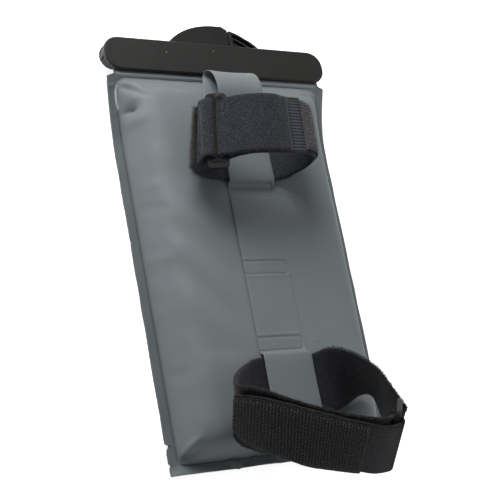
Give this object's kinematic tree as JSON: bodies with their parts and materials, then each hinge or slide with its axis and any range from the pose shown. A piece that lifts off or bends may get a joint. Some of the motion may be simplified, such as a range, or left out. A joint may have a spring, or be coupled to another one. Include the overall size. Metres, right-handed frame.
{
  "type": "thermal phone case",
  "caption": "Sealed film phone pouch with a clear window, a bar clamp locked by quarter-turn levers, an insulating liner and hook-and-loop mounting straps.",
  "frame": {"origin": "centre of the clear window's outer face, on the surface that the case lies on", "axes": "+X across the pouch, +Y along it towards the clamp, +Z from the window face to the straps"},
  "size_m": [0.13, 0.2538, 0.0633],
  "materials": {
    "film": "satin grey TPU film",
    "window": "clear film",
    "foam": "matt closed-cell foam",
    "clamp": "finely textured moulding",
    "lever": "finely textured moulding",
    "pin": "satin moulding",
    "webbing": "knitted nylon loop tape",
    "hook_tape": "moulded hook tape",
    "ring": "smooth moulding"
  },
  "bodies": {
    "pouch": {"back_film": "film", "front_frame": "film", "window_film": "window", "insulating_liner": "foam", "clamp_rear_bar": "clamp", "clamp_front_bar": "clamp", "strap_carrier": "film", "upper_strap": "webbing", "upper_hook_patch": "hook_tape", "upper_ring": "ring", "lower_strap": "webbing", "lower_hook_patch": "hook_tape", "lower_ring": "ring"},
    "left_lever": {"lever_left": "lever", "lever_pin_left": "pin"},
    "right_lever": {"lever_right": "lever", "lever_pin_right": "pin"}
  },
  "joints": [
    {"name": "left_lever_turn", "type": "hinge", "parent": "pouch", "child": "left_lever", "pos_m": [-0.042, 0.1345, 0.0037], "axis": [0, 0, 1], "range_deg": [0, 90]},
    {"name": "right_lever_turn", "type": "hinge", "parent": "pouch", "child": "right_lever", "pos_m": [0.042, 0.1345, 0.0037], "axis": [0, 0, 1], "range_deg": [-90, 0]}
  ]
}
